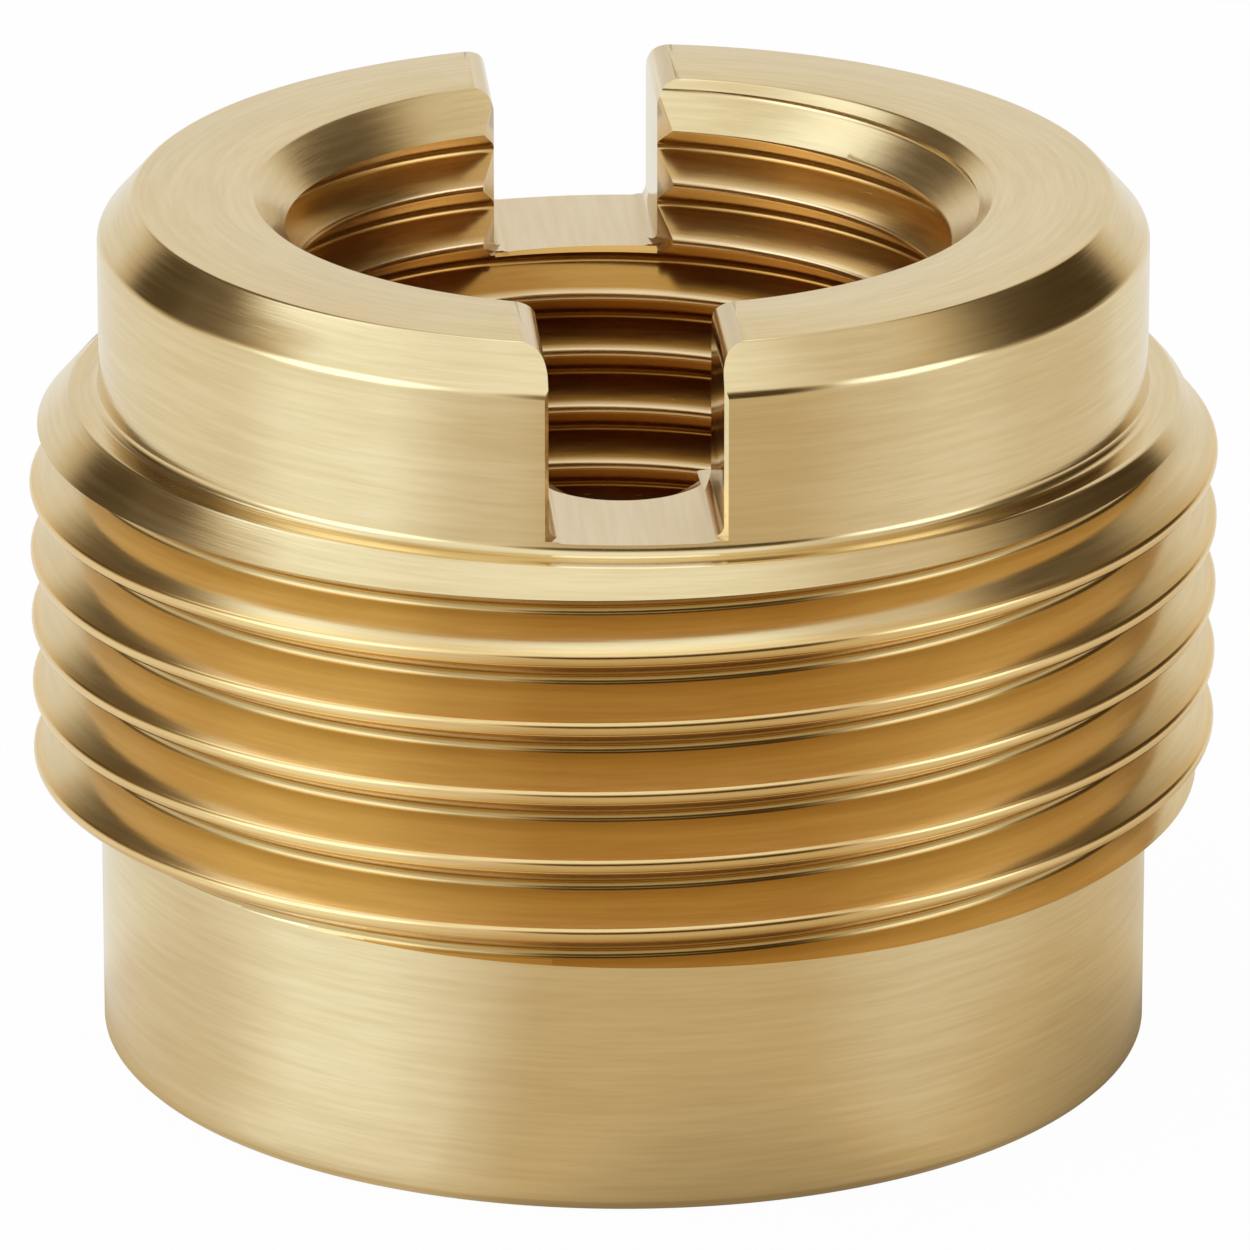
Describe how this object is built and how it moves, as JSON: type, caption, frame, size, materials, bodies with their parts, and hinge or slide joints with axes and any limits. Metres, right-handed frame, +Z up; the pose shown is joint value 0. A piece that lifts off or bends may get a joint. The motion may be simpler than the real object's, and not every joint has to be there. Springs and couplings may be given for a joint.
{
  "type": "thread adapter",
  "caption": "Slotted brass thread adapter: a turned bush with a fine outside thread between plain collars, a threaded bore right through and a driver slot across its chamfered top.",
  "frame": {"origin": "centre of the bore at the flat bottom face, on which the part stands", "axes": "+Z up the bore axis to the slotted end; the slot runs along Y, and -Y is the front"},
  "size_m": [0.0158, 0.0158, 0.0117],
  "materials": {
    "brass": "satin, with fine turning lines on the round faces and straight milling lines in the slot"
  },
  "bodies": {
    "root": {"body": "brass"}
  },
  "joints": []
}
